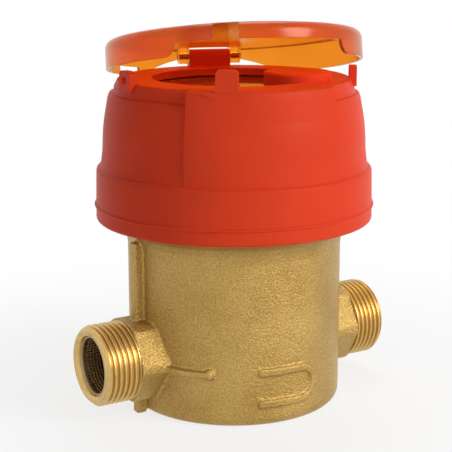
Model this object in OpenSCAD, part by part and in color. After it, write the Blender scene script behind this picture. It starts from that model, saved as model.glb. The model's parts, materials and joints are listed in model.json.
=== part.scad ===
// Rotary-piston water meter: cast body, measuring chamber, dry register, bonnet and hinged lid.
// Origin at the centre of the flat base, +Z up, +X along the flow.

/* [Body casting] */
// Radius of the round body
body_r = 35.7; // [34:0.1:40]
// Wall of the round body
body_wall = 4.5; // [4:0.1:5.5]
// Thickness of the floor
floor_t = 4; // [3:0.1:6]
// Height at which the wall starts to flare
flare_z = 54.3; // [53:0.1:60]
// How far the flare stands out from the wall
flare_out = 5; // [4:0.1:7]
// Radius of the edge round the base
base_round = 3.5; // [1:0.1:5]
// How far the top flange stands out from the flare
flange_out = 1.9; // [1.2:0.1:3]
// Thickness of the top flange
flange_t = 2.4; // [1.5:0.1:4]
// Thickness of the casting's upright ribs
rib_t = 3.5; // [2:0.1:5]
// How far the upright ribs stand out
rib_out = 3.2; // [2:0.1:5]

/* [Pipe ends] */
// Length over both pipe ends
pipe_len = 110; // [105:1:130]
// Height of the pipe axis
pipe_z = 18.9; // [16:0.1:25]
// Outside radius of the pipe thread
thread_r = 13.22; // [12:0.01:15]
// Length of the thread
thread_len = 11.2; // [8:0.1:12]
// Chamfer at the mouth of the thread
thread_chamfer = 0.8; // [0.3:0.1:1.5]
// Radius of the waterway
bore_r = 9.8; // [8:0.1:10.5]
// Length of the strainer
strainer_len = 17; // [10:0.5:18]
// Wall of the strainer
strainer_wall = 0.8; // [0.5:0.1:1.5]

/* [Measuring chamber] */
// Width of the water space round the chamber
annulus = 1.7; // [1:0.1:2]
// Wall of the chamber
chamber_wall = 2.5; // [1.5:0.1:3]
// Height of the working space
work_h = 36; // [30:0.5:37]
// Throw of the piston
throw = 3.6; // [3:0.1:4]
// Wall of the piston
piston_wall = 2.2; // [1.5:0.1:3]
// Radius of the piston pin
piston_pin_r = 2; // [1.5:0.1:2.2]
// Thickness of the division plate
division_t = 1.2; // [0.8:0.1:2]
// Thickness of the pressure plate
plate_t = 4.5; // [3.5:0.1:6]
// Thickness of the retaining ring
ring_t = 4; // [3:0.1:6]

/* [Bonnet] */
// Wall of the band at the foot of the bonnet
foot_wall = 3; // [2.4:0.1:4]
// Height of that band
band_h = 18.2; // [14:0.1:22]
// Height of the side wall above the band
side_h = 23.6; // [22:0.1:30]
// Height of the set-back ring under the lid
ring_h = 5.3; // [4.5:0.1:7]
// Wall of the bonnet
bonnet_wall = 2.6; // [2:0.1:2.7]
// Turn of the bonnet about the body, degrees
bonnet_turn = -18.7; // [-175:0.1:175]
// Half angle of the front panel, degrees
panel_half = 34; // [25:0.5:36]
// Radius of the window in the top
window_r = 27; // [22:0.5:28]

/* [Lid] */
// Outside radius of the lid above that of the set-back ring
lid_over = 1.7; // [1.4:0.1:2.5]
// Wall of the lid
lid_wall = 1.1; // [0.9:0.1:1.2]
// Height of the lid's dome above its shoulder
dome_h = 6.4; // [4:0.1:9]
// Angle that the lid stands open, degrees
lid_open = 11.3; // [0:0.1:90]
// Radius of the hinge pin
hinge_pin_r = 1; // [0.6:0.1:1.2]
// Width of the hinge knuckle
knuckle_w = 14.6; // [10:0.1:18]
// Thickness of the lid's hinge legs
leg_t = 3.5; // [2:0.1:4]

/* [Register] */
// Wall of the register can
can_wall = 1.5; // [1:0.1:2]
// Thickness of the glass
glass_t = 3; // [2:0.1:4]
// Teeth of the pinions
pinion_teeth = 12; // [10:1:12]
// Teeth of the wheels
wheel_teeth = 60; // [50:2:60]
// Radius of the number drums
drum_r = 7; // [6:0.1:7]
// Pitch of the number drums
drum_pitch = 4.6; // [4.2:0.1:4.6]
// Radius of the arbors
arbor_r = 0.8; // [0.6:0.05:1]

/* [Clearances] */
// Running clearance of a pin in its hole
run_gap = 0.05; // [0.02:0.01:0.09]
// Clearance between still pieces that fit together
fit_gap = 0.05; // [0.02:0.01:0.1]
// Clearance between moving pieces
move_gap = 0.3; // [0.2:0.05:0.4]

/* [Hidden] */
$fn = 64;
over = 1;
big = 200;

// Levels from the base up
gasket_t = 1;
chamber_z = floor_t + gasket_t;
chamber_floor = 3;
work_z = chamber_z + chamber_floor;
work_top = work_z + work_h;
cover_t = 3;
cover_top = work_top + cover_t;
cavity_r = body_r - body_wall;
seat_z = flare_z + 1.7;
seat_w = 3.4;
seal_t = 1.2;
plate_z = seat_z + seal_t;
ring_z = plate_z + plate_t;
body_top = ring_z + ring_t + move_gap;
flange_z = body_top - flange_t;
flare_r = body_r + flare_out;
flange_r = flare_r + flange_out;
lip_t = 1.5;
bonnet_z = flange_z - move_gap - lip_t;
band_top = bonnet_z + band_h;
side_top = band_top + side_h;
bonnet_top = side_top + ring_h;

// Chamber and piston
chamber_out = cavity_r - annulus;
chamber_r = chamber_out - chamber_wall;
piston_r = chamber_r - throw - move_gap;
piston_in = piston_r - piston_wall;
post_r = piston_in - throw - move_gap;
post_wall = 1.5;
web_t = 2;
web_z = (work_z + work_top - web_t) / 2;
slot_w = 2 * throw + division_t + 2 * move_gap;
arm_z = cover_top + 0.5;
arm_t = 2;
arm_r = throw + piston_pin_r + 1.8;
hub_z = arm_z + arm_t;
hub_r = 4;
stub_r = 2;
magnet_h = (plate_z - hub_z) * 0.65;
magnet_r = 11;

// Bonnet walls
flange_room = 0.4;
bonnet_r = flange_r + flange_room + foot_wall;
side_foot_r = bonnet_r - 1.7;
side_head_r = bonnet_r - 4.2;
ring_r = bonnet_r - 5.8;
ring_top_r = ring_r - 1.6;
top_t = 2.5;
panel_foot_r = bonnet_r - 1.5;
panel_head_r = bonnet_r - 3.9;
ear_angle = 73;
ear_w = 7;
ear_top = bonnet_top + 4;
ear_r = ring_r - 0.1;
ear_t = 2.6;
lug_angle = -16.6;
lug_w = 7;
lug_top = bonnet_top + 6.6;
lug_t = 2.2;
boss_r = 11;
boss_h = 2.5;

// Hinge and lid
hinge_y = ring_r - 2.2;
hinge_z = bonnet_top + 3.3;
knuckle_r = 2.4;
leg_r = knuckle_r + 0.4;
lid_r = ring_r + lid_over;
lid_in = lid_r - lid_wall;
lid_z = side_top + 1.5;
shoulder_z = hinge_z - 0.6;
shoulder_h = 2.8;
shoulder_in = 2.7;
dome_z = shoulder_z + dome_h;
bar_z = hinge_z + leg_r + move_gap;
bar_t = 2.8;
leg_gap = knuckle_w / 2 + 0.2;
cut_half = 39;
cut_z = bonnet_top + 0.3;
cut_round = 4;
arch_r = 50;
peg_notch_h = 3;

// Register can and glass
can_r = ring_r - 3.3;
can_in = can_r - can_wall;
can_z = body_top + move_gap;
can_floor = can_z + can_wall;
can_hub_r = 11.5;
well_t = 1.8;
hub_foot = plate_z + well_t + move_gap;
glass_z = bonnet_top - top_t - 0.2 - glass_t;
can_top = glass_z - 0.8;

// Register train, in the bonnet's own frame
train_z = can_floor + 1.5;
wheel_t = 2;
plate2_t = 1;
lower_z = train_z + wheel_t + 1;
layer_b = lower_z + plate2_t + 0.7;
layer_c = layer_b + wheel_t + 0.6;
upper_z = layer_c + wheel_t + 0.8;
train_room = 1.8;
train_reach = 2.36;
centre_dist = (can_in - train_room) / train_reach;
gear_m = 2 * centre_dist / (pinion_teeth + wheel_teeth);
line_1 = -70.5;
line_2 = 78;
line_3 = 12.4;
arbor_1 = centre_dist * [cos(line_1), sin(line_1)];
arbor_2 = arbor_1 + centre_dist * [cos(line_2), sin(line_2)];
arbor_3 = arbor_1 + centre_dist * [cos(line_3), sin(line_3)];

// Number drums on a shaft along X
drum_count = 8;
crown_teeth = 20;
crown_m = 0.8;
crown_r = crown_m * crown_teeth / 2;
crown_z = upper_z + plate2_t + 0.6;
crown_t = 1.6;
crown_pitch_z = crown_z + crown_t + 1.25 * crown_m;
drum_y = arbor_2[1];
drum_z = crown_pitch_z + crown_r;
carry_bracket_t = 1.2;
drum_x = arbor_2[0] + crown_r - 1.2 - carry_bracket_t - 2 * move_gap;
drum_side = 1.05;
ring_teeth = 20;
ring_m = (drum_r - 0.1) / (ring_teeth / 2 + 1);
carry_teeth = 8;
carry_dist = ring_m * (ring_teeth + carry_teeth) / 2;
lock_r = carry_dist - ring_m * (carry_teeth / 2 + 1) - move_gap;
shaft_r = 1;
bracket_t = 2;
gear_x = arbor_2[0] + crown_r - 0.8;
bracket_right = gear_x + 3;
carry_bracket = drum_x + move_gap;
bracket_left = drum_x - drum_count * drum_pitch - move_gap - bracket_t;
dial_z = drum_z + crown_r + crown_m + 0.4;
dial_t = 0.8;
post_angles = [50, 150, 250];
post_dist = can_in - 5.8;

// Shared shapes

// A plain ring standing on z
module tube(outer, inner, z, h) {
    translate([0, 0, z]) difference() {
        cylinder(r = outer, h = h);
        translate([0, 0, -over]) cylinder(r = inner, h = h + 2 * over);
    }
}

// Everything on the bonnet is laid out with its front at -Y, then turned
module turned() {
    rotate([0, 0, bonnet_turn]) children();
}

// A part of a full turn, centred on an angle from the front
module sector(mid, half) {
    rotate([0, 0, mid - half - 90]) rotate_extrude(angle = 2 * half) children();
}

// A cylinder along X
module bar_x(r, x0, x1) {
    translate([x0, 0, 0]) rotate([0, 90, 0]) cylinder(r = r, h = x1 - x0);
}

// Place on the drum shaft, with the gear plane's normal along X
module on_drum_axis(x) {
    translate([x, drum_y, drum_z]) rotate([90, 0, 90]) children();
}

// Outline of a spur gear with straight-flanked teeth and backlash
function tooth_points(teeth, m, at) = let (
    pitch_r = m * teeth / 2,
    root = pitch_r - 1.25 * m,
    tip = pitch_r + 0.9 * m,
    wide = 0.32 * 360 / teeth,
    slim = 0.15 * 360 / teeth)
    [root * [cos(at - wide), sin(at - wide)], tip * [cos(at - slim), sin(at - slim)],
     tip * [cos(at + slim), sin(at + slim)], root * [cos(at + wide), sin(at + wide)]];

function gear_points(teeth, m, phase) =
    [for (i = [0 : teeth - 1]) each tooth_points(teeth, m, phase + i * 360 / teeth)];

module gear(teeth, m, phase, h) {
    linear_extrude(h) polygon(gear_points(teeth, m, phase));
}

// Phase of a gear driven by one of known phase along a line of centres
function mesh_phase(line, phase, driver, teeth) =
    line + 180 + 180 / teeth - (phase - line) * driver / teeth;

// Wet side

module nipple() {
    end_x = pipe_len / 2;
    neck_x = end_x - thread_chamfer - thread_len;
    hex_r = (thread_r - 0.4) / cos(30);
    rotate([0, 90, 0]) {
        translate([0, 0, neck_x]) cylinder(r = thread_r, h = thread_len);
        translate([0, 0, neck_x + thread_len])
            cylinder(r1 = thread_r, r2 = thread_r - thread_chamfer, h = thread_chamfer);
        translate([0, 0, cavity_r]) intersection() {
            rotate([0, 0, 30]) cylinder(r = hex_r, h = neck_x - cavity_r + 0.01, $fn = 6);
            cylinder(r = thread_r + 0.8, h = neck_x - cavity_r + 0.01);
        }
    }
}

module upright_rib() {
    root_x = body_r - 0.5;
    web_out = 2.8;
    translate([root_x, -rib_t / 2, pipe_z])
        cube([body_r + rib_out - root_x, rib_t, flare_z + 3.4 - pipe_z]);
    translate([root_x, -rib_t / 2, 0]) cube([body_r + web_out - root_x, rib_t, pipe_z]);
}

// A bar on the wall, along the circle, between two angles from the front
module wall_bar(z, wide, high, from, to) {
    sector((from + to) / 2, (to - from) / 2)
        translate([body_r - over, z - wide / 2]) square([high + over, wide]);
}

// Outline of the bead as seen from its front: two bars joined by a half round
module bead_outline(wide, reach, bend_r) {
    difference() {
        union() {
            circle(r = bend_r + wide / 2);
            translate([-reach, -bend_r - wide / 2]) square([reach, 2 * bend_r + wide]);
        }
        circle(r = bend_r - wide / 2);
        translate([-reach - 1, -bend_r + wide / 2]) square([reach + 1, 2 * bend_r - wide]);
    }
}

module wall_bead() {
    bead_w = 2.4;
    bead_h = 0.9;
    bead_z = 13.25;
    turn_at = 5;
    intersection() {
        tube(body_r + bead_h, body_r - 1, 2, flare_z - 4);
        rotate([0, 0, turn_at]) translate([0, 0, bead_z]) rotate([90, 0, 0])
            linear_extrude(big) bead_outline(bead_w, 15, 5.25);
    }
}

module casting_outline() {
    difference() {
        polygon(concat(
            [[0, 0], [body_r - base_round, 0]],
            [for (a = [-75 : 15 : 0]) [body_r - base_round, base_round] + base_round * [cos(a), sin(a)]],
            [[body_r, flare_z]],
            [for (t = [0.25 : 0.25 : 1])
                [body_r + flare_out * (1 - cos(90 * t)) , flare_z + flare_out * 1.3 * sin(90 * t)]],
            [[flare_r, flange_z], [flange_r, flange_z + 0.4], [flange_r, body_top - 0.4],
             [flange_r - 0.4, body_top], [0, body_top]]));
        translate([0, floor_t]) square([cavity_r, big]);
        translate([0, seat_z]) square([cavity_r + seat_w, big]);
    }
}

module body_casting() {
    color("goldenrod") difference() {
        union() {
            rotate_extrude() casting_outline();
            translate([0, 0, pipe_z]) {
                nipple();
                mirror([1, 0, 0]) nipple();
            }
            upright_rib();
            mirror([1, 0, 0]) upright_rib();
            wall_bar(pipe_z - 0.9, 1.8, 1.6, -88, -45);
            wall_bead();
        }
        translate([0, 0, pipe_z]) {
            bar_x(bore_r, cavity_r - 2, pipe_len / 2 + over);
            bar_x(bore_r, -pipe_len / 2 - over, 2 - cavity_r);
        }
    }
}

module inlet_strainer() {
    mouth_x = -pipe_len / 2 + 1.2;
    outer = bore_r - fit_gap;
    color("dimgray") translate([mouth_x, 0, pipe_z]) rotate([0, 90, 0]) difference() {
        cylinder(r = outer, h = strainer_len);
        translate([0, 0, -over])
            cylinder(r = outer - strainer_wall, h = strainer_len - strainer_wall + over);
    }
}

module chamber_gasket() {
    color("black") tube(cavity_r - fit_gap, cavity_r - 9, floor_t, gasket_t);
}

module chamber_body() {
    port_w = 9;
    color("ivory") difference() {
        union() {
            translate([0, 0, chamber_z]) cylinder(r = cavity_r - fit_gap, h = 2);
            translate([0, 0, chamber_z]) cylinder(r = chamber_out, h = chamber_floor + work_h);
        }
        difference() {
            translate([0, 0, work_z]) cylinder(r = chamber_r, h = work_h + over);
            tube(post_r, post_r - post_wall, work_z - over, web_z - work_z + over - move_gap);
        }
        translate([-post_r - throw - port_w / 2, 6, 0]) cylinder(r = port_w / 3, h = work_z + over);
    }
}

module division_plate() {
    color("gainsboro") translate([-division_t / 2, -chamber_r + fit_gap, work_z])
        cube([division_t, chamber_r - post_r - 2 * fit_gap, work_h]);
}

module chamber_cover() {
    pin_room = throw + piston_pin_r + 2 * move_gap;
    port_w = 9;
    post_foot = web_z + web_t + move_gap;
    color("ivory") {
        difference() {
            union() {
                translate([0, 0, work_top]) cylinder(r = chamber_out, h = cover_t);
                tube(post_r, post_r - post_wall, post_foot, work_top - post_foot + 0.5);
                tube(chamber_out, chamber_r, cover_top - 0.5, plate_z - cover_top + 0.5 - fit_gap);
            }
            translate([0, 0, work_top - over]) cylinder(r = pin_room, h = cover_t + 2 * over);
            translate([post_r + throw + port_w / 2, 6, work_top - over])
                cylinder(r = port_w / 3, h = cover_t + 2 * over);
        }
    }
}

module piston() {
    color("slategray") translate([throw, 0, 0]) {
        difference() {
            union() {
                tube(piston_r, piston_in, work_z + move_gap, work_h - 2 * move_gap);
                translate([0, 0, web_z]) cylinder(r = piston_in + 0.5, h = web_t);
            }
            translate([-slot_w / 2, -piston_r - over, work_z])
                cube([slot_w, piston_r + over - post_r + throw + 2 * move_gap, work_h]);
            for (a = [30 : 60 : 150]) rotate([0, 0, a])
                translate([piston_in * 0.6, 0, web_z - over]) cylinder(r = 3, h = web_t + 2 * over);
        }
        translate([0, 0, web_z + 0.5]) cylinder(r = piston_pin_r, h = hub_z - web_z - 0.7);
    }
}

module drive_spindle() {
    hub_top = plate_z - 1.2;
    color("white") difference() {
        union() {
            translate([0, 0, arm_z]) cylinder(r = arm_r, h = arm_t);
            translate([0, 0, arm_z]) cylinder(r = hub_r, h = hub_top - arm_z);
        }
        translate([0, 0, hub_z + 0.4]) cylinder(r = stub_r + run_gap, h = hub_top);
        translate([throw, 0, arm_z - over]) cylinder(r = piston_pin_r + run_gap, h = arm_t + over);
    }
}

module drive_magnet() {
    color("darkslategray") tube(magnet_r, hub_r + fit_gap, hub_z, magnet_h);
}

module plate_seal() {
    color("black") tube(cavity_r + seat_w - fit_gap, cavity_r + 0.2, seat_z, seal_t);
}

module pressure_plate() {
    well_r = can_hub_r + 0.5;
    color("silver") {
        difference() {
            union() {
                translate([0, 0, plate_z]) cylinder(r = cavity_r + seat_w - fit_gap, h = plate_t);
                translate([0, 0, hub_z + 0.8]) cylinder(r = stub_r, h = plate_z - hub_z);
            }
            translate([0, 0, plate_z + well_t]) cylinder(r = well_r, h = plate_t);
        }
    }
}

module retaining_ring() {
    inner = can_hub_r + 12.5;
    color("peru") difference() {
        tube(cavity_r + seat_w - fit_gap, inner, ring_z, ring_t);
        for (a = [45 : 90 : 315]) rotate([0, 0, a])
            translate([inner - over, -2.5, ring_z + ring_t / 2]) cube([4 + over, 5, ring_t]);
    }
}

// Bonnet and lid

module bonnet_outline() {
    polygon(concat(
        [[flare_r + 0.5, bonnet_z], [bonnet_r - 2, bonnet_z], [bonnet_r - 0.7, bonnet_z + 0.4],
         [bonnet_r - 0.2, bonnet_z + 0.8], [bonnet_r, bonnet_z + 1.4], [bonnet_r - 0.05, bonnet_z + 5.1],
         [bonnet_r + 0.5, bonnet_z + 5.3], [bonnet_r + 0.5, bonnet_z + 5.8], [bonnet_r - 0.05, bonnet_z + 6],
         [bonnet_r - 0.3, band_top - 1.4], [bonnet_r - 0.5, band_top - 0.7],
         [bonnet_r - 0.9, band_top - 0.25]],
        [for (t = [0 : 0.08 : 1])
            [side_foot_r - (side_foot_r - side_head_r) * pow(t, 3), band_top + side_h * t]],
        [[side_head_r - 0.4, side_top + 0.4], [ring_r + 0.6, side_top + 0.8], [ring_r, side_top + 1.4],
         [ring_top_r, bonnet_top - 1], [ring_top_r - 0.3, bonnet_top - 0.3], [ring_top_r - 1, bonnet_top],
         [window_r, bonnet_top], [window_r, bonnet_top - top_t],
         [can_r + 0.5, bonnet_top - top_t], [can_r + 0.5, side_top - 0.6],
         [side_head_r - bonnet_wall, side_top - 3], [side_foot_r - bonnet_wall, band_top + 0.4],
         [bonnet_r - foot_wall, band_top - 2], [bonnet_r - foot_wall, flange_z - move_gap],
         [flare_r + 0.5, flange_z - move_gap]]));
}

module panel_outline() {
    polygon([[panel_foot_r - 2, band_top - 0.5], [panel_foot_r, band_top - 0.5],
        [panel_head_r + 0.2, bonnet_top - 2.4],
        [panel_head_r - 0.2, bonnet_top - 0.5], [panel_head_r - 0.7, bonnet_top], [can_r + 1.2, bonnet_top],
        [can_r + 1.2, side_top], [side_head_r - 2, side_top - 3]]);
}

// An ear or lug that stands on the rim, with a round top
module rim_ear(angle, wide, out, deep, foot, top) {
    rotate([0, 0, angle]) translate([0, -out, 0]) {
        translate([-wide / 2, 0, foot]) cube([wide, deep, top - foot - 1.5]);
        translate([-wide / 2 + 1.5, 0, foot]) cube([wide - 3, deep, top - foot]);
        for (side = [-1, 1]) translate([side * (wide / 2 - 1.5), 0, top - 1.5])
            rotate([-90, 0, 0]) cylinder(r = 1.5, h = deep);
    }
}

module knuckle() {
    foot = bonnet_top - top_t;
    translate([-knuckle_w / 2, hinge_y - knuckle_r, foot]) cube([knuckle_w, 2 * knuckle_r, hinge_z - foot]);
    translate([0, hinge_y, hinge_z]) bar_x(knuckle_r, -knuckle_w / 2, knuckle_w / 2);
}

// A round seat for a pulse pick-up, over the third arbor
module pulse_boss() {
    edge = 0.6;
    foot = bonnet_top - top_t;
    translate([arbor_3[0], arbor_3[1], foot]) {
        cylinder(r = boss_r, h = top_t + boss_h - edge);
        translate([0, 0, top_t + boss_h - edge]) cylinder(r1 = boss_r, r2 = boss_r - edge, h = edge);
    }
}

module bonnet() {
    color("orangered") turned() difference() {
        union() {
            rotate_extrude() bonnet_outline();
            sector(0, panel_half) panel_outline();
            for (side = [-1, 1]) rim_ear(side * ear_angle, ear_w, ear_r, ear_t, bonnet_top - top_t, ear_top);
            rim_ear(lug_angle, lug_w, panel_head_r - 0.3, lug_t, bonnet_top - 1.5, lug_top);
            knuckle();
            pulse_boss();
        }
        translate([0, hinge_y, hinge_z]) bar_x(hinge_pin_r + run_gap, -knuckle_w, knuckle_w);
        for (side = [-1, 1]) rotate([0, 0, side * ear_angle])
            translate([-1.5, -ear_r - over, ear_top - 4]) cube([3, ear_t + 2 * over, 2]);
    }
}

module lid_outline(r, z, low) {
    rise = dome_z - (lid_r - r);
    polygon(concat(
        [[0, low], [r, low], [r, z]],
        [for (a = [15 : 15 : 75]) [r - shoulder_in * (1 - cos(a)), z + shoulder_h * sin(a)]],
        [for (t = [0 : 0.2 : 1])
            [(r - shoulder_in) * (1 - t), z + shoulder_h + (rise - z - shoulder_h) * sin(90 * t)]]));
}

module hinge_fork() {
    fork_half = leg_gap + leg_t;
    translate([0, hinge_y, 0]) {
        for (side = [-1, 1]) translate([side * (leg_gap + leg_t / 2), 0, hinge_z]) {
            bar_x(leg_r, -leg_t / 2, leg_t / 2);
            translate([-leg_t / 2, -leg_r, 0]) cube([leg_t, 2 * leg_r, bar_z + bar_t - hinge_z]);
        }
        translate([-fork_half, -leg_r - 2, bar_z]) cube([2 * fork_half, leg_r + 3, bar_t]);
    }
}

// What is cut away to round a lower corner of the skirt
module skirt_corner() {
    translate([0, -lid_r + 6, lid_z]) rotate([90, 0, 0]) linear_extrude(8) polygon(concat(
        [[-over, cut_round], [-over, -over], [cut_round, -over]],
        [for (a = [270 : -15 : 180]) cut_round * [1 + cos(a), 1 + sin(a)]]));
}

module lid_shell() {
    difference() {
        rotate_extrude() lid_outline(lid_r, shoulder_z, lid_z);
        rotate_extrude() lid_outline(lid_in, shoulder_z, lid_z - over);
        // The front is cut back so that the panel shows
        sector(0, cut_half) translate([lid_r - 6, lid_z - over]) square([20, cut_z - lid_z + over]);
        for (side = [-1, 1]) rotate([0, 0, side * cut_half]) mirror([side < 0 ? 1 : 0, 0, 0]) skirt_corner();
        // Room for the sealing lug
        rotate([0, 0, lug_angle]) translate([-lug_w / 2 - 0.4, -lid_r - over, lid_z - over])
            cube([lug_w + 0.8, 5, lug_top + 0.6 - lid_z + over]);
        // A small notch in the skirt at the back left
        sector(-131.5, 8.5) translate([lid_r - 6, lid_z - over]) square([20, peg_notch_h + over]);
        // The skirt arches over the hinge
        translate([0, lid_r, hinge_z - arch_r + 0.1]) rotate([90, 0, 0]) cylinder(r = arch_r, h = 16);
        translate([-leg_gap - leg_t, hinge_y - leg_r - 0.4, lid_z])
            cube([2 * (leg_gap + leg_t), 20, bar_z - lid_z]);
    }
}

// The lid is drawn closed, then swung open about its pin
module swung() {
    turned() translate([0, hinge_y, hinge_z]) rotate([-lid_open, 0, 0])
        translate([0, -hinge_y, -hinge_z]) children();
}

module lid() {
    color("orange") swung() difference() {
        union() {
            lid_shell();
            hinge_fork();
        }
        translate([0, hinge_y, hinge_z])
            bar_x(hinge_pin_r + fit_gap, -leg_gap - leg_t - over, leg_gap + leg_t + over);
    }
}

module hinge_pin() {
    half = leg_gap + leg_t - 0.3;
    color("silver") swung() translate([0, hinge_y, hinge_z]) bar_x(hinge_pin_r, -half, half);
}

// Register

module register_can() {
    color("peru") turned() difference() {
        union() {
            translate([0, 0, can_z]) cylinder(r = can_r, h = can_top - can_z);
            translate([0, 0, hub_foot]) cylinder(r = can_hub_r, h = can_floor - hub_foot);
        }
        translate([0, 0, can_floor]) cylinder(r = can_in, h = can_top);
        difference() {
            translate([0, 0, hub_foot + can_wall]) cylinder(r = can_hub_r - can_wall, h = can_floor);
            tube(arbor_r + 1.5, arbor_r + run_gap, hub_foot, can_wall + 1.4);
        }
    }
}

module can_seal() {
    color("black") turned() tube(can_r, can_in, can_top, glass_z - can_top);
}

module register_glass() {
    edge = 0.5;
    color("lightcyan", 0.4) turned() {
        translate([0, 0, glass_z]) cylinder(r = can_r, h = glass_t - edge);
        translate([0, 0, glass_z + glass_t - edge]) cylinder(r1 = can_r, r2 = can_r - edge, h = edge);
    }
}

// Bearing holes through a gear plate
module bearing_holes(places) {
    for (p = places) translate([p[0], p[1], -over]) cylinder(r = arbor_r + run_gap, h = big);
}

module lower_gear_plate() {
    color("gold") turned() difference() {
        union() {
            translate([0, 0, lower_z]) cylinder(r = post_dist + 2.5, h = plate2_t);
            for (a = post_angles) rotate([0, 0, a]) translate([post_dist, 0, can_floor])
                cylinder(r = 1.8, h = lower_z - can_floor + plate2_t / 2);
        }
        bearing_holes([[0, 0], arbor_1, arbor_2, arbor_3]);
    }
}

// An upright on the upper plate, across the shafts from one side to the other
module shaft_bracket(x, thick, from, to) {
    foot = upper_z + plate2_t / 2;
    translate([x, drum_y + from, foot]) cube([thick, to - from, drum_z + 3 - foot]);
}

module upper_gear_plate() {
    color("gold") turned() difference() {
        union() {
            translate([0, 0, upper_z]) cylinder(r = post_dist + 2.5, h = plate2_t);
            for (a = post_angles) rotate([0, 0, a]) translate([post_dist, 0, lower_z + plate2_t])
                cylinder(r = 1.8, h = dial_z - lower_z - plate2_t);
            shaft_bracket(bracket_right, bracket_t, -3, 3);
            shaft_bracket(bracket_left, bracket_t, -3, carry_dist + 3);
            shaft_bracket(carry_bracket, carry_bracket_t, carry_dist - 1.4, carry_dist + 3);
        }
        bearing_holes([arbor_1, arbor_2, arbor_3]);
        translate([0, drum_y, drum_z]) bar_x(shaft_r + fit_gap, -big / 4, big / 4);
        translate([0, drum_y + carry_dist, drum_z]) bar_x(arbor_r + fit_gap, -big / 4, gear_x);
    }
}

module dial_plate() {
    left = drum_x - drum_count * drum_pitch - 0.4;
    color("white") turned() difference() {
        translate([0, 0, dial_z]) cylinder(r = can_in - fit_gap, h = dial_t);
        translate([left, drum_y - 2.4, dial_z - over])
            cube([drum_count * drum_pitch + 0.8, 4.8, dial_t + 2 * over]);
        translate([arbor_3[0], arbor_3[1], dial_z - over]) cylinder(r = 4, h = dial_t + 2 * over);
    }
}

module drum_shaft() {
    color("silver") turned() translate([0, drum_y, drum_z])
        bar_x(shaft_r, bracket_left, bracket_right + bracket_t);
}

module pinion_shaft() {
    color("silver") turned() translate([0, drum_y + carry_dist, drum_z])
        bar_x(arbor_r, bracket_left, carry_bracket + carry_bracket_t);
}

module follower_spindle() {
    hub_low = hub_foot + can_wall + 1.8;
    color("white") turned() {
        translate([0, 0, hub_foot + can_wall + 0.2])
            cylinder(r = arbor_r, h = lower_z + plate2_t - hub_foot - can_wall - 0.3);
        translate([0, 0, hub_low]) cylinder(r = 3, h = can_floor + 0.6 - hub_low);
        translate([0, 0, train_z]) gear(pinion_teeth, gear_m, line_1, wheel_t);
    }
}

module follower_magnet() {
    low = hub_foot + can_wall + 1.8;
    color("darkslategray") turned() tube(can_hub_r - can_wall - 0.6, 3 + fit_gap, low, can_floor - low);
}

wheel_1_phase = mesh_phase(line_1, line_1, pinion_teeth, wheel_teeth);
wheel_2_phase = mesh_phase(line_2, line_2, pinion_teeth, wheel_teeth);
wheel_3_phase = mesh_phase(line_3, line_2, pinion_teeth, wheel_teeth);

module first_arbor() {
    color("gold") turned() translate([arbor_1[0], arbor_1[1], 0]) {
        translate([0, 0, train_z - 0.8]) cylinder(r = arbor_r, h = upper_z + plate2_t - train_z + 0.7);
        translate([0, 0, train_z]) gear(wheel_teeth, gear_m, wheel_1_phase, wheel_t);
        translate([0, 0, layer_b]) gear(pinion_teeth, gear_m, line_2, layer_c + wheel_t - layer_b);
    }
}

// Crown teeth stand on a disc and mesh with a gear on the drum axis
module crown_wheel() {
    tooth_w = 0.34 * 2 * PI * crown_r / crown_teeth;
    rim_in = crown_r - 0.8;
    tooth_len = 1.6;
    translate([0, 0, crown_z]) cylinder(r = crown_r + 0.8, h = crown_t);
    for (i = [0 : crown_teeth - 1]) rotate([0, 0, (i + 0.5) * 360 / crown_teeth])
        translate([rim_in, -tooth_w / 2, crown_z + crown_t - 0.2])
            cube([tooth_len - 0.2, tooth_w, crown_pitch_z + 0.6 * crown_m - crown_z - crown_t + 0.2]);
}

module second_arbor() {
    color("gold") turned() translate([arbor_2[0], arbor_2[1], 0]) {
        translate([0, 0, lower_z + 0.1]) cylinder(r = arbor_r, h = crown_z - lower_z);
        translate([0, 0, layer_b]) gear(wheel_teeth, gear_m, wheel_2_phase, wheel_t);
        crown_wheel();
    }
}

module third_arbor() {
    disc_z = dial_z - 1.8;
    color("gold") turned() translate([arbor_3[0], arbor_3[1], 0]) {
        translate([0, 0, lower_z + 0.1]) cylinder(r = arbor_r, h = disc_z + 0.5 - lower_z);
        translate([0, 0, layer_c]) gear(wheel_teeth, gear_m, wheel_3_phase, wheel_t);
        translate([0, 0, disc_z]) cylinder(r = 4.8, h = 1);
    }
}

// One number drum: lock disc with two carry teeth, numbered band and ring gear
module number_drum(i) {
    left = drum_x - i * drum_pitch + fit_gap;
    band = drum_pitch - 2 * drum_side;
    width = drum_pitch - 2 * fit_gap;
    color(i > 3 ? "black" : "firebrick") turned() difference() {
        union() {
            on_drum_axis(left) cylinder(r = lock_r, h = width);
            on_drum_axis(left + drum_side - fit_gap) cylinder(r = drum_r, h = band);
            if (i > 1) on_drum_axis(left + drum_side - fit_gap + band)
                gear(ring_teeth, ring_m, 180 / ring_teeth, drum_side - fit_gap);
            if (i < drum_count) for (a = [172, 188]) on_drum_axis(left) rotate([0, 0, a])
                translate([lock_r - over, -0.4, 0]) cube([drum_r - lock_r + over - 0.2, 0.8, drum_side]);
            if (i == 1) {
                on_drum_axis(left + width - over) cylinder(r = 3, h = gear_x - left - width + 2 * over);
                on_drum_axis(gear_x) gear(crown_teeth, crown_m, -90, 1.6);
            }
        }
        on_drum_axis(left - over) cylinder(r = shaft_r + run_gap, h = gear_x + 4 - left);
    }
}

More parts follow.
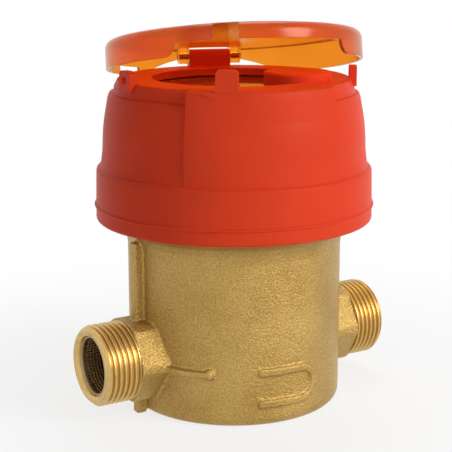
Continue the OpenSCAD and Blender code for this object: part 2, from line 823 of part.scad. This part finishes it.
// One carry pinion between two drums
module carry_pinion(i) {
    middle = drum_x - i * drum_pitch;
    half = drum_side - 0.15;
    color("white") turned() translate([0, carry_dist, 0]) difference() {
        on_drum_axis(middle - half) gear(carry_teeth, ring_m, 0, 2 * half);
        on_drum_axis(middle - half - over) cylinder(r = arbor_r + run_gap, h = 2 * half + 2 * over);
    }
}

body_casting();
inlet_strainer();
chamber_gasket();
chamber_body();
division_plate();
chamber_cover();
plate_seal();
pressure_plate();
retaining_ring();
piston();
drive_spindle();
drive_magnet();
bonnet();
register_can();
can_seal();
register_glass();
lower_gear_plate();
upper_gear_plate();
dial_plate();
drum_shaft();
pinion_shaft();
follower_spindle();
follower_magnet();
first_arbor();
second_arbor();
third_arbor();
for (i = [1 : drum_count]) number_drum(i);
for (i = [1 : drum_count - 1]) carry_pinion(i);
lid();
hinge_pin();
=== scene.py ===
import json
import math
import bmesh
import bpy
from mathutils import Matrix, Vector


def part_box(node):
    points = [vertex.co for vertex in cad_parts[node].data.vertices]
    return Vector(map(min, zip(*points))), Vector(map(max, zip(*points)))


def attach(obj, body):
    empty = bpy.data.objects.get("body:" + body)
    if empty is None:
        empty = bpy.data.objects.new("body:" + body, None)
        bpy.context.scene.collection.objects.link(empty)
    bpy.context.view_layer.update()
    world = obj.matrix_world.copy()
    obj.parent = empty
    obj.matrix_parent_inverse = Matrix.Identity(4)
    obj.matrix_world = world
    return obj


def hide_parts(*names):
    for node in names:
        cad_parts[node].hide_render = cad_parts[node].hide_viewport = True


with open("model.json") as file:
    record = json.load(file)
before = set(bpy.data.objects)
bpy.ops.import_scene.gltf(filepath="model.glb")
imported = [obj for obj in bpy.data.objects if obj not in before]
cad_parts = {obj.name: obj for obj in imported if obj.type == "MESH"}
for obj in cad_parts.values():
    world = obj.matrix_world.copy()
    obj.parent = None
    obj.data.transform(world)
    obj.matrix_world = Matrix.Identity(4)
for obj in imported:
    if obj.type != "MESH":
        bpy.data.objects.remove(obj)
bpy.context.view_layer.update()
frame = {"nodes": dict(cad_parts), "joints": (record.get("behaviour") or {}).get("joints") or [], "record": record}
nodes = frame["nodes"]
mm = 0.001
print("frame loaded:", len(nodes), "nodes")


# shared helpers

def jointNamed(name):
    return next(j for j in frame["joints"] if j["name"] == name)


def addMesh(name, bm, body, material, smooth=True):
    mesh = bpy.data.meshes.new(name)
    bm.to_mesh(mesh)
    bm.free()
    piece = bpy.data.objects.new(name, mesh)
    bpy.context.scene.collection.objects.link(piece)
    mesh.materials.append(material)
    if smooth:
        mesh.shade_smooth()
    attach(piece, body)
    return piece


def applyModifiers(piece):
    depsgraph = bpy.context.evaluated_depsgraph_get()
    mesh = bpy.data.meshes.new_from_object(piece.evaluated_get(depsgraph))
    piece.modifiers.clear()
    piece.data = mesh


def looseObject(name, bm):
    mesh = bpy.data.meshes.new(name)
    bm.to_mesh(mesh)
    bm.free()
    item = bpy.data.objects.new(name, mesh)
    bpy.context.scene.collection.objects.link(item)
    return item


def joinRings(bm, rings, closed=False):
    for one, two in zip(rings, rings[1:] + rings[:1] if closed else rings[1:]):
        for k in range(len(one)):
            after = (k + 1) % len(one)
            bm.faces.new((one[k], one[after], two[after], two[k]))


def sliceMesh(bm, point, normal):
    bmesh.ops.bisect_plane(bm, geom=bm.verts[:] + bm.edges[:] + bm.faces[:], plane_co=point, plane_no=normal)


# materials: every finish is built from noise in object space, which is in metres

def startMaterial(name):
    material = bpy.data.materials.new(name)
    material.use_nodes = True
    tree = material.node_tree
    shader = tree.nodes["Principled BSDF"]
    place = tree.nodes.new("ShaderNodeTexCoord")
    return material, tree, shader, place.outputs["Object"]


def noise(tree, where, size, detail=4.0, rough=0.55, stretch=None):
    tex = tree.nodes.new("ShaderNodeTexNoise")
    tex.inputs["Scale"].default_value = 1.0 / (size * mm)
    tex.inputs["Detail"].default_value = detail
    tex.inputs["Roughness"].default_value = rough
    if stretch:
        squeeze = tree.nodes.new("ShaderNodeMapping")
        squeeze.inputs["Scale"].default_value = stretch
        tree.links.new(where, squeeze.inputs["Vector"])
        where = squeeze.outputs["Vector"]
    tree.links.new(where, tex.inputs["Vector"])
    return tex.outputs["Fac"]


def ramp(tree, fac, stops):
    node = tree.nodes.new("ShaderNodeValToRGB")
    band = node.color_ramp
    while len(band.elements) < len(stops):
        band.elements.new(0.5)
    for element, (at, colour) in zip(band.elements, stops):
        element.position = at
        element.color = (*colour, 1.0) if len(colour) == 3 else colour
    tree.links.new(fac, node.inputs["Fac"])
    return node.outputs["Color"]


def grey(value):
    return (value, value, value)


def bump(tree, shader, height, depth, below=None):
    node = tree.nodes.new("ShaderNodeBump")
    node.inputs["Strength"].default_value = 1.0
    node.inputs["Distance"].default_value = depth * mm
    tree.links.new(height, node.inputs["Height"])
    if below:
        tree.links.new(below, node.inputs["Normal"])
    tree.links.new(node.outputs["Normal"], shader.inputs["Normal"])
    return node.outputs["Normal"]


def castBrass():
    look = {"dark": (0.46, 0.28, 0.07), "mid": (0.53, 0.335, 0.09), "light": (0.58, 0.375, 0.11),
            "grain": 0.62, "patch": 20.0, "grainDepth": 0.4, "speck": 0.74, "rough": (0.46, 0.33),
            "metal": 0.72, "dent": 3.5, "dentDepth": 0.1}
    material, tree, shader, where = startMaterial("castBrass")
    patch = noise(tree, where, look["patch"], 3.0)
    grain = noise(tree, where, look["grain"], 3.0)
    colour = ramp(tree, patch, [(0.3, look["dark"]), (0.5, look["mid"]), (0.7, look["light"])])
    speck = ramp(tree, grain, [(0.36, grey(look["speck"])), (0.6, grey(1.0))])
    mix = tree.nodes.new("ShaderNodeMix")
    mix.data_type = "RGBA"
    mix.blend_type = "MULTIPLY"
    mix.inputs["Factor"].default_value = 1.0
    tree.links.new(colour, mix.inputs["A"])
    tree.links.new(speck, mix.inputs["B"])
    tree.links.new(mix.outputs["Result"], shader.inputs["Base Color"])
    dull, bright = look["rough"]
    tree.links.new(ramp(tree, grain, [(0.3, grey(dull)), (0.7, grey(bright))]), shader.inputs["Roughness"])
    shader.inputs["Metallic"].default_value = look["metal"]
    low = bump(tree, shader, noise(tree, where, look["dent"], 2.0), look["dentDepth"])
    bump(tree, shader, grain, look["grainDepth"], low)
    return material


def turnedBrass(name, colour, rough):
    material, tree, shader, where = startMaterial(name)
    lines = noise(tree, where, 1.0, 3.0, 0.6, stretch=(6.0, 0.4, 0.4))
    shade = tuple(c * 0.82 for c in colour)
    tree.links.new(ramp(tree, lines, [(0.35, shade), (0.65, colour)]), shader.inputs["Base Color"])
    tree.links.new(ramp(tree, lines, [(0.3, grey(rough + 0.1)), (0.7, grey(rough))]),
                   shader.inputs["Roughness"])
    shader.inputs["Metallic"].default_value = 1.0
    bump(tree, shader, lines, 0.015)
    return material


def mouldedPlastic(name, colour, rough, grain=0.35, depth=0.006, drift=0.9, shine=0.5):
    material, tree, shader, where = startMaterial(name)
    wide = noise(tree, where, 18.0, 3.0)
    fine = noise(tree, where, grain, 2.0)
    shade = tuple(c * drift for c in colour)
    tree.links.new(ramp(tree, wide, [(0.35, shade), (0.65, colour)]), shader.inputs["Base Color"])
    tree.links.new(ramp(tree, fine, [(0.3, grey(rough + 0.06)), (0.7, grey(rough - 0.03))]),
                   shader.inputs["Roughness"])
    shader.inputs["Specular IOR Level"].default_value = shine
    bump(tree, shader, fine, depth)
    return material


def lidPlastic():
    look = {"colour": (0.94, 0.31, 0.02), "shade": (0.91, 0.28, 0.016), "clear": 0.93,
            "bend": 1.3, "shine": 0.3, "grainDepth": 0.004}
    material, tree, shader, where = startMaterial("lidPlastic")
    wide = noise(tree, where, 16.0, 2.0)
    fine = noise(tree, where, 0.8, 2.0)
    tree.links.new(ramp(tree, wide, [(0.35, look["shade"]), (0.65, look["colour"])]),
                   shader.inputs["Base Color"])
    tree.links.new(ramp(tree, fine, [(0.3, grey(0.24)), (0.7, grey(0.16))]), shader.inputs["Roughness"])
    shader.inputs["Transmission Weight"].default_value = look["clear"]
    shader.inputs["IOR"].default_value = look["bend"]
    shader.inputs["Specular IOR Level"].default_value = look["shine"]
    bump(tree, shader, fine, look["grainDepth"])
    return material


def clearGlass():
    material, tree, shader, where = startMaterial("clearGlass")
    fine = noise(tree, where, 6.0, 2.0)
    tree.links.new(ramp(tree, fine, [(0.3, grey(0.03)), (0.7, grey(0.01))]), shader.inputs["Roughness"])
    shader.inputs["Base Color"].default_value = (0.93, 0.97, 0.96, 1.0)
    shader.inputs["Transmission Weight"].default_value = 1.0
    shader.inputs["IOR"].default_value = 1.5
    return material


def steel():
    material, tree, shader, where = startMaterial("steel")
    lines = noise(tree, where, 1.2, 3.0, 0.6, stretch=(0.3, 4.0, 4.0))
    tree.links.new(ramp(tree, lines, [(0.3, grey(0.5)), (0.7, grey(0.62))]), shader.inputs["Base Color"])
    tree.links.new(ramp(tree, lines, [(0.3, grey(0.36)), (0.7, grey(0.26))]), shader.inputs["Roughness"])
    shader.inputs["Metallic"].default_value = 1.0
    return material


finishes = {
    "cast_brass": castBrass(),
    "machined_brass": turnedBrass("turnedBrass", (0.68, 0.46, 0.17), 0.28),
    "gear_brass": turnedBrass("gearBrass", (0.74, 0.53, 0.22), 0.22),
    "can_metal": turnedBrass("canCopper", (0.66, 0.36, 0.2), 0.3),
    "strainer_mesh": turnedBrass("strainerWire", (0.42, 0.31, 0.17), 0.3),
    "chamber_plastic": mouldedPlastic("chamberPlastic", (0.72, 0.66, 0.52), 0.45),
    "piston_plastic": mouldedPlastic("pistonPlastic", (0.07, 0.075, 0.085), 0.4),
    "rubber": mouldedPlastic("rubber", (0.018, 0.018, 0.018), 0.7, depth=0.02),
    "magnet": mouldedPlastic("ferrite", (0.03, 0.03, 0.033), 0.6),
    "white_plastic": mouldedPlastic("whitePlastic", (0.78, 0.78, 0.75), 0.42, drift=0.97),
    "stainless": steel(),
    "glass": clearGlass(),
    "bonnet_plastic": mouldedPlastic("bonnetPlastic", (0.74, 0.052, 0.014), 0.42, drift=0.95, shine=0.1),
    "lid_plastic": lidPlastic(),
    "red_drum": mouldedPlastic("redDrum", (0.5, 0.02, 0.018), 0.45),
    "black_drum": mouldedPlastic("blackDrum", (0.015, 0.015, 0.016), 0.45),
}

for row in frame["record"]["subparts"]:
    node = nodes[row["node"]]
    node.data.materials.clear()
    node.data.materials.append(finishes[row["material_slot"]])
print("finishes set:", len(finishes))


# camera and light

shot = {"place": (-0.2320, -0.3665, 0.1574), "down": 12.68, "turn": -32.34, "lens": 105.2,
        "shift": (-0.018, -0.008)}


def addCamera():
    data = bpy.data.cameras.new("shot")
    data.sensor_width = 36.0
    data.lens = shot["lens"]
    data.shift_x, data.shift_y = shot["shift"]
    data.clip_start = 0.01
    camera = bpy.data.objects.new("shot", data)
    camera.location = shot["place"]
    camera.rotation_euler = (math.radians(90 - shot["down"]), 0, math.radians(shot["turn"]))
    bpy.context.scene.collection.objects.link(camera)
    bpy.context.scene.camera = camera


def addLamp(name, place, size, watts, aim=(0, 0, 0.06)):
    data = bpy.data.lights.new(name, "AREA")
    data.shape = "DISK"
    data.size = size
    data.energy = watts
    lamp = bpy.data.objects.new(name, data)
    lamp.location = place
    lamp.rotation_euler = (Vector(aim) - Vector(place)).to_track_quat("-Z", "Y").to_euler()
    bpy.context.scene.collection.objects.link(lamp)


def seenRays(tree):
    paths = tree.nodes.new("ShaderNodeLightPath")
    total = paths.outputs["Is Camera Ray"]
    for ray in ("Is Glossy Ray", "Is Transmission Ray"):
        either = tree.nodes.new("ShaderNodeMath")
        either.operation = "MAXIMUM"
        tree.links.new(total, either.inputs[0])
        tree.links.new(paths.outputs[ray], either.inputs[1])
        total = either.outputs[0]
    return total


def addFloor():
    # paper white, fading into the backdrop
    look = {"colour": grey(0.93), "near": 0.05, "far": 0.22, "least": 0.78,
            "size": 6.0, "rough": 0.85, "shine": 0.1}
    bm = bmesh.new()
    bmesh.ops.create_grid(bm, x_segments=2, y_segments=2, size=look["size"])
    floor = looseObject("floor", bm)
    material, tree, shader, where = startMaterial("paleFloor")
    shader.inputs["Base Color"].default_value = (*look["colour"], 1.0)
    shader.inputs["Roughness"].default_value = look["rough"]
    shader.inputs["Specular IOR Level"].default_value = look["shine"]
    reach = tree.nodes.new("ShaderNodeVectorMath")
    reach.operation = "LENGTH"
    tree.links.new(where, reach.inputs[0])
    fade = tree.nodes.new("ShaderNodeMapRange")
    fade.interpolation_type = "SMOOTHSTEP"
    fade.inputs["From Min"].default_value = look["near"]
    fade.inputs["From Max"].default_value = look["far"]
    fade.inputs["To Min"].default_value = look["least"]
    tree.links.new(reach.outputs["Value"], fade.inputs["Value"])
    share = tree.nodes.new("ShaderNodeMath")
    share.operation = "MULTIPLY"
    tree.links.new(fade.outputs["Result"], share.inputs[0])
    tree.links.new(seenRays(tree), share.inputs[1])
    white = tree.nodes.new("ShaderNodeEmission")
    both = tree.nodes.new("ShaderNodeMixShader")
    tree.links.new(share.outputs[0], both.inputs[0])
    tree.links.new(shader.outputs[0], both.inputs[1])
    tree.links.new(white.outputs[0], both.inputs[2])
    tree.links.new(both.outputs[0], tree.nodes["Material Output"].inputs["Surface"])
    floor.data.materials.append(material)


def addWorld():
    look = {"lights": 0.25, "seen": 1.0}   # white where it is seen, dimmer as a light
    world = bpy.data.worlds.new("studio")
    bpy.context.scene.world = world
    world.use_nodes = True
    tree = world.node_tree
    back = tree.nodes["Background"]
    back.inputs["Color"].default_value = (1, 1, 1, 1)
    level = tree.nodes.new("ShaderNodeMapRange")
    level.inputs["To Min"].default_value = look["lights"]
    level.inputs["To Max"].default_value = look["seen"]
    tree.links.new(seenRays(tree), level.inputs["Value"])
    tree.links.new(level.outputs["Result"], back.inputs["Strength"])


bpy.context.scene.view_settings.view_transform = "Standard"
addCamera()
addFloor()
addWorld()
addLamp("key", (0.44, -0.87, 0.5), 0.5, 7.0)
addLamp("fill", (-0.7, -0.65, 0.4), 0.6, 0.5)
addLamp("top", (0.25, 0.35, 0.95), 0.6, 2.5)
print("camera, floor and lamps set")


# casting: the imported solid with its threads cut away, softened as sand-cast metal is

casting = {"threadLength": 12.0, "cutReach": 30.0, "cutPast": 10.0,
           "voxel": 0.3, "smooth": 10, "keep": 0.165, "wall": 35.7,
           "ribFrom": 182, "ribTo": 225, "ribHeight": 18.0, "ribWide": (3.4, 2.4), "ribOut": (2.6, 1.7),
           "ribFlat": 0.7, "ribSteps": 24, "ribBlob": 1.9, "blobOut": 0.1}
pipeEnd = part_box("body_casting")[1].x
pipeAxis = frame["record"]["mounts"][1]["pos_m"][2]


def boxCutter(name, low, high):
    bm = bmesh.new()
    bmesh.ops.create_cube(bm, size=1.0)
    size = Vector(high) - Vector(low)
    middle = (Vector(high) + Vector(low)) / 2
    bmesh.ops.transform(bm, matrix=Matrix.Translation(middle) @ Matrix.Diagonal((*size, 1.0)), verts=bm.verts)
    return looseObject(name, bm)


def addRib(bm):
    radius = casting["wall"] * mm
    steps = casting["ribSteps"]
    height = casting["ribHeight"] * mm
    loops = []
    for i in range(steps + 1):
        t = i / steps
        angle = math.radians(casting["ribFrom"] + (casting["ribTo"] - casting["ribFrom"]) * t)
        wide = (casting["ribWide"][0] * (1 - t) + casting["ribWide"][1] * t) * mm / 2
        out = radius + (casting["ribOut"][0] * (1 - t) + casting["ribOut"][1] * t) * mm
        flat = wide * casting["ribFlat"]
        way = Vector((math.cos(angle), math.sin(angle), 0))
        loops.append([bm.verts.new(way * r + Vector((0, 0, z))) for r, z in
                      ((radius - mm, height - wide), (out, height - flat),
                       (out, height + flat), (radius - mm, height + wide))])
    joinRings(bm, loops)
    bm.faces.new(loops[0])
    bm.faces.new(loops[-1])
    blob = bmesh.ops.create_icosphere(bm, subdivisions=3, radius=casting["ribBlob"] * mm)
    bmesh.ops.translate(bm, vec=way * (radius + casting["blobOut"] * mm) + Vector((0, 0, height)),
                        verts=blob["verts"])
    bmesh.ops.recalc_face_normals(bm, faces=bm.faces)


def makeCasting():
    bm = bmesh.new()
    bm.from_mesh(nodes["body_casting"].data)
    bmesh.ops.remove_doubles(bm, verts=bm.verts, dist=1e-6)
    piece = addMesh("castBody", bm, "meter_body", finishes["cast_brass"])
    neck = pipeEnd - casting["threadLength"] * mm
    reach = casting["cutReach"] * mm
    cutters = []
    for side in (-1, 1):
        near, far = sorted((side * neck, side * (pipeEnd + casting["cutPast"] * mm)))
        cutters.append(boxCutter("endCut", (near, -reach, pipeAxis - reach), (far, reach, pipeAxis + reach)))
        cut = piece.modifiers.new("endCut", "BOOLEAN")
        cut.operation = "DIFFERENCE"
        cut.object = cutters[-1]
    applyModifiers(piece)
    for cutter in cutters:
        bpy.data.objects.remove(cutter)
    bm = bmesh.new()
    bm.from_mesh(piece.data)
    addRib(bm)
    bm.to_mesh(piece.data)
    bm.free()
    remesh = piece.modifiers.new("soften", "REMESH")
    remesh.mode = "VOXEL"
    remesh.voxel_size = casting["voxel"] * mm
    settle = piece.modifiers.new("settle", "SMOOTH")
    settle.factor = 0.5
    settle.iterations = casting["smooth"]
    thin = piece.modifiers.new("thin", "DECIMATE")
    thin.ratio = casting["keep"]
    applyModifiers(piece)
    piece.data.materials.clear()
    piece.data.materials.append(finishes["cast_brass"])
    piece.data.shade_smooth()
    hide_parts("body_casting")


# pipe threads: a sleeve whose outside follows the thread's helix

thread = {"major": 13.2, "minor": 12.1, "pitch": 1.814, "bore": 9.8, "chamfer": 1.3, "land": 1.0,
          "root": 0.16, "flank": 0.62, "faceEdge": 0.15, "faceStep": 0.25, "boreEdge": 0.3, "boreStep": 0.55,
          "around": 120, "along": 96}


def threadRadius(x, turn):
    phase = ((x / thread["pitch"] - turn) % 1.0)
    wave = abs(2 * phase - 1)
    crest = min(1.0, max(0.0, (wave - thread["root"]) / thread["flank"]))
    crest = crest * crest * (3 - 2 * crest)
    radius = thread["minor"] + (thread["major"] - thread["minor"]) * crest
    fromEnd = casting["threadLength"] - x
    mouth = thread["major"] - thread["chamfer"] + fromEnd
    return min(radius, mouth)


def makeThread(name, side):
    bm = bmesh.new()
    rings = []
    start = pipeEnd / mm - casting["threadLength"]
    steps = thread["along"]
    length = casting["threadLength"]
    profile = [(length * i / steps, None) for i in range(steps + 1)]
    ringFace = thread["bore"] + thread["land"]
    step = length - thread["faceStep"]
    profile += [(length, ringFace + thread["faceEdge"]), (step, ringFace),
                (step, thread["bore"] + thread["boreEdge"]),
                (length - thread["boreStep"], thread["bore"]), (0.0, thread["bore"])]
    for x, radius in profile:
        ring = []
        for k in range(thread["around"]):
            turn = k / thread["around"]
            r = radius if radius else threadRadius(x, turn)
            angle = 2 * math.pi * turn
            ring.append(bm.verts.new((side * (start + x) * mm, side * r * math.cos(angle) * mm,
                                      r * math.sin(angle) * mm + pipeAxis)))
        rings.append(ring)
    joinRings(bm, rings, closed=True)
    bmesh.ops.recalc_face_normals(bm, faces=bm.faces)
    piece = addMesh(name, bm, "meter_body", finishes["machined_brass"])
    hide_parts("body_casting")


makeCasting()
makeThread("inletThread", -1)
makeThread("outletThread", 1)
print("casting and threads made")


# strainer: a woven thimble of thin wire in the inlet, with a turned collar at its mouth

strainer = {"around": 56, "along": 15, "rings": 9, "wire": 0.34, "inset": 0.2,
            "collar": 1.6, "collarWall": 0.7, "collarEdge": 0.15, "collarSides": 96, "collarCrease": 50}


def pipeRing(bm, x, radius, count):
    turns = [2 * math.pi * k / count for k in range(count)]
    return [bm.verts.new((x, radius * math.cos(a), pipeAxis + radius * math.sin(a))) for a in turns]


def makeStrainer():
    low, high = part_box("inlet_strainer")
    outer = (high.z - low.z) / 2 - strainer["inset"] * mm
    start = low.x + strainer["collar"] * mm * 0.5
    end = high.x - strainer["inset"] * mm
    bm = bmesh.new()
    rows = [(start + (end - start) * i / strainer["along"], outer) for i in range(strainer["along"] + 1)]
    rows += [(end, outer * (1 - i / strainer["rings"])) for i in range(1, strainer["rings"])]
    loops = [pipeRing(bm, x, r, strainer["around"]) for x, r in rows]
    joinRings(bm, loops)
    bm.faces.new(loops[-1])
    wires = addMesh("strainerWires", bm, "meter_body", finishes["strainer_mesh"])
    weave = wires.modifiers.new("weave", "WIREFRAME")
    weave.thickness = strainer["wire"] * mm
    weave.use_even_offset = False
    applyModifiers(wires)
    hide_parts("inlet_strainer")

    bm = bmesh.new()
    full = (high.z - low.z) / 2
    inner = full - strainer["collarWall"] * mm
    depth = strainer["collar"] * mm
    edge = strainer["collarEdge"] * mm
    section = [(0, inner + edge), (0, full - edge), (edge, full),
               (depth, full), (depth, inner), (edge, inner)]
    joinRings(bm, [pipeRing(bm, low.x + x, r, strainer["collarSides"]) for x, r in section], closed=True)
    bmesh.ops.recalc_face_normals(bm, faces=bm.faces)
    collar = addMesh("strainerCollar", bm, "meter_body", finishes["strainer_mesh"])
    collar.data.set_sharp_from_angle(angle=math.radians(strainer["collarCrease"]))
    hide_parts("inlet_strainer")


makeStrainer()
print("strainer woven")


# bonnet and lid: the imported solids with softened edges, and the bonnet's side drawn in beside its panel

mouldings = {
    "bonnet": {"piece": "bonnetMoulding", "body": "register", "slot": "bonnet_plastic",
               "edge": 0.2, "sharp": 32, "crease": 17},
    "lid": {"piece": "lidMoulding", "body": "lid", "slot": "lid_plastic",
            "edge": 0.14, "sharp": 38, "crease": 30},
}

# each lip entry moves one ring of the rim, from (radius, height) to (radius, height)
bonnet = {"turn": -18.7, "bandTop": 80.0, "sideHeight": 23.6, "footRadius": 44.3, "taper": 2.5,
          "panelEdge": 34.0, "edgeWidth": 0.5, "drawIn": 0.75, "drawFoot": 5, "drawHead": (0.55, 3),
          "sideFrom": 0.01, "sideTo": 1.005, "sideNear": 0.15, "lipNear": (0.08, 0.05),
          "lip": {(41.4, 104.0): (41.05, 104.15), (40.8, 104.4): (40.4, 104.3),
                  (40.2, 105.0): (39.7, 104.25)}}
tinyEdge = 1e-5   # metres; shorter edges upset the bevel
turned = Matrix.Rotation(math.radians(bonnet["turn"]), 4, "Z")
unturned = turned.inverted()


def shapeBonnet(bm):
    bm.transform(unturned)
    for side in (-1, 1):
        for more in (0, bonnet["edgeWidth"]):
            edge = math.radians(side * (bonnet["panelEdge"] + more))
            sliceMesh(bm, (0, 0, 0), (math.cos(edge), math.sin(edge), 0))
    headShare, headSlope = bonnet["drawHead"]
    nearR, nearZ = bonnet["lipNear"]
    for v in bm.verts:
        r, z = math.hypot(v.co.x, v.co.y) / mm, v.co.z / mm
        away = math.degrees(abs(math.atan2(v.co.x, -v.co.y)))
        if away < bonnet["panelEdge"] + bonnet["edgeWidth"] / 2:
            continue   # the front panel stays proud of the side
        t = (z - bonnet["bandTop"]) / bonnet["sideHeight"]
        newR, newZ = r, z
        onSide = abs(r - bonnet["footRadius"] + bonnet["taper"] * t ** 3) < bonnet["sideNear"]
        if bonnet["sideFrom"] < t < bonnet["sideTo"] and onSide:
            newR = r - bonnet["drawIn"] * min(1.0, t * bonnet["drawFoot"], headShare + (1.0 - t) * headSlope)
        for (oldR, oldZ), (lipR, lipZ) in bonnet["lip"].items():
            if abs(r - oldR) < nearR and abs(z - oldZ) < nearZ:
                newR, newZ = lipR, lipZ
        v.co = (v.co.x * newR / r, v.co.y * newR / r, newZ * mm)
    bm.transform(turned)


def softenMoulding(node):
    look = mouldings[node]
    bm = bmesh.new()
    bm.from_mesh(nodes[node].data)
    bm.transform(nodes[node].matrix_world)
    bmesh.ops.remove_doubles(bm, verts=bm.verts, dist=2e-6)
    bmesh.ops.dissolve_limit(bm, angle_limit=math.radians(0.6), verts=bm.verts, edges=bm.edges)
    if node == "bonnet":
        shapeBonnet(bm)
    bmesh.ops.remove_doubles(bm, verts=bm.verts, dist=tinyEdge)
    bmesh.ops.dissolve_degenerate(bm, dist=tinyEdge, edges=bm.edges)
    piece = addMesh(look["piece"], bm, look["body"], finishes[look["slot"]])
    edges = piece.modifiers.new("edges", "BEVEL")
    edges.width = look["edge"] * mm
    edges.segments = 2
    edges.limit_method = "ANGLE"
    edges.angle_limit = math.radians(look["sharp"])
    edges.use_clamp_overlap = False
    applyModifiers(piece)
    piece.data.shade_smooth()
    piece.data.set_sharp_from_angle(angle=math.radians(look["crease"]))
    weigh = piece.modifiers.new("weigh", "WEIGHTED_NORMAL")
    weigh.keep_sharp = True
    applyModifiers(piece)
    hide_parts(node)


for node in mouldings:
    softenMoulding(node)
print("bonnet and lid softened")


# register: numbers on the drums and print on the dial

register = {"radius": 7.0, "lift": 0.04, "height": 2.9, "squeeze": 0.86, "slice": 0.4,
            "pitch": 4.6, "slot": 2.5, "line": 0.3, "frameEdge": 0.4,
            "ring": 25.6, "ringSides": 180, "tickEvery": 9, "tickLength": 1.2, "tickHalf": 0.12}


def glyph(text, height):
    curve = bpy.data.curves.new("glyph", "FONT")
    curve.body = text
    curve.size = height * 1.4 * mm
    holder = bpy.data.objects.new("glyph", curve)
    bpy.context.scene.collection.objects.link(holder)
    mesh = bpy.data.meshes.new_from_object(holder.evaluated_get(bpy.context.evaluated_depsgraph_get()))
    bpy.data.objects.remove(holder)
    bm = bmesh.new()
    bm.from_mesh(mesh)
    low = Vector([min(v.co[i] for v in bm.verts) for i in range(3)])
    high = Vector([max(v.co[i] for v in bm.verts) for i in range(3)])
    bmesh.ops.translate(bm, vec=-(low + high) / 2, verts=bm.verts)
    return bm


def drumGlyph(digit):
    bm = glyph(str(digit), register["height"])
    for i in range(-4, 5):
        sliceMesh(bm, (0, i * register["slice"] * mm, 0), (0, 1, 0))
    mesh = bpy.data.meshes.new("digit")
    r = (register["radius"] + register["lift"]) * mm
    for v in bm.verts:
        angle = v.co.y / r + math.radians(36 * digit)
        v.co = (v.co.x * register["squeeze"], r * math.sin(angle), r * math.cos(angle))
    bm.to_mesh(mesh)
    bm.free()
    return mesh


def drumAxle():
    return unturned @ Vector(jointNamed("drum_1_spin")["pos_m"])


def drumSpan(i):
    drum = nodes["number_drum_%d" % i]
    xs = [(unturned @ (drum.matrix_world @ v.co)).x for v in drum.data.vertices]
    return min(xs), max(xs)


def printDrums():
    digits = [drumGlyph(k) for k in range(10)]
    middle = {i: sum(drumSpan(i)) / 2 for i in (2, 3)}
    step = middle[3] - middle[2]
    axle = drumAxle()
    for i in range(1, 9):
        bm = bmesh.new()
        for mesh in digits:
            bm.from_mesh(mesh)
        centre = Vector((middle[2] + (i - 2) * step, axle.y, axle.z))
        bm.transform(turned @ Matrix.Translation(centre))
        addMesh("drumDigits_%d" % i, bm, "number_drum_%d" % i,
                finishes["white_plastic"], False)


def flatQuad(bm, corners, z):
    bm.faces.new([bm.verts.new((x * mm, y * mm, z)) for x, y in corners])


def printDial():
    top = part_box("dial_plate")[1].z + register["lift"] * mm
    axle = drumAxle() / mm
    edge = register["frameEdge"]
    redStart = drumSpan(3)[0] / mm   # drums 1 to 3 are the red ones
    redEnd = redStart + 3 * register["pitch"] + edge
    blackStart, blackEnd = drumSpan(8)[0] / mm - edge, drumSpan(4)[1] / mm
    for name, low, high, slot in (("dialFrame", blackStart, blackEnd, "black_drum"),
                                  ("dialFrameRed", redStart, redEnd, "red_drum")):
        bm = bmesh.new()
        for side in (-1, 1):
            near = axle.y + side * register["slot"]
            far = near + side * register["line"]
            flatQuad(bm, [(low, near), (high, near), (high, far), (low, far)], top)
        if slot == "black_drum":
            sides = register["ringSides"]
            for k in range(sides):
                one, two = (2 * math.pi * j / sides for j in (k, k + 1))
                inner, outer = register["ring"], register["ring"] + register["line"]
                flatQuad(bm, [(r * math.cos(a), r * math.sin(a)) for r, a in
                              ((inner, one), (outer, one), (outer, two), (inner, two))], top)
                if k % register["tickEvery"] == 0:
                    mid = Vector((math.cos(one), math.sin(one)))
                    side = Vector((-mid.y, mid.x)) * register["tickHalf"]
                    foot = mid * (inner - register["tickLength"])
                    flatQuad(bm, [mid * inner - side, mid * inner + side, foot + side, foot - side], top)
        bm.transform(turned)
        bmesh.ops.recalc_face_normals(bm, faces=bm.faces)
        addMesh(name, bm, "register", finishes[slot], False)


printDrums()
printDial()
print("drums and dial printed")
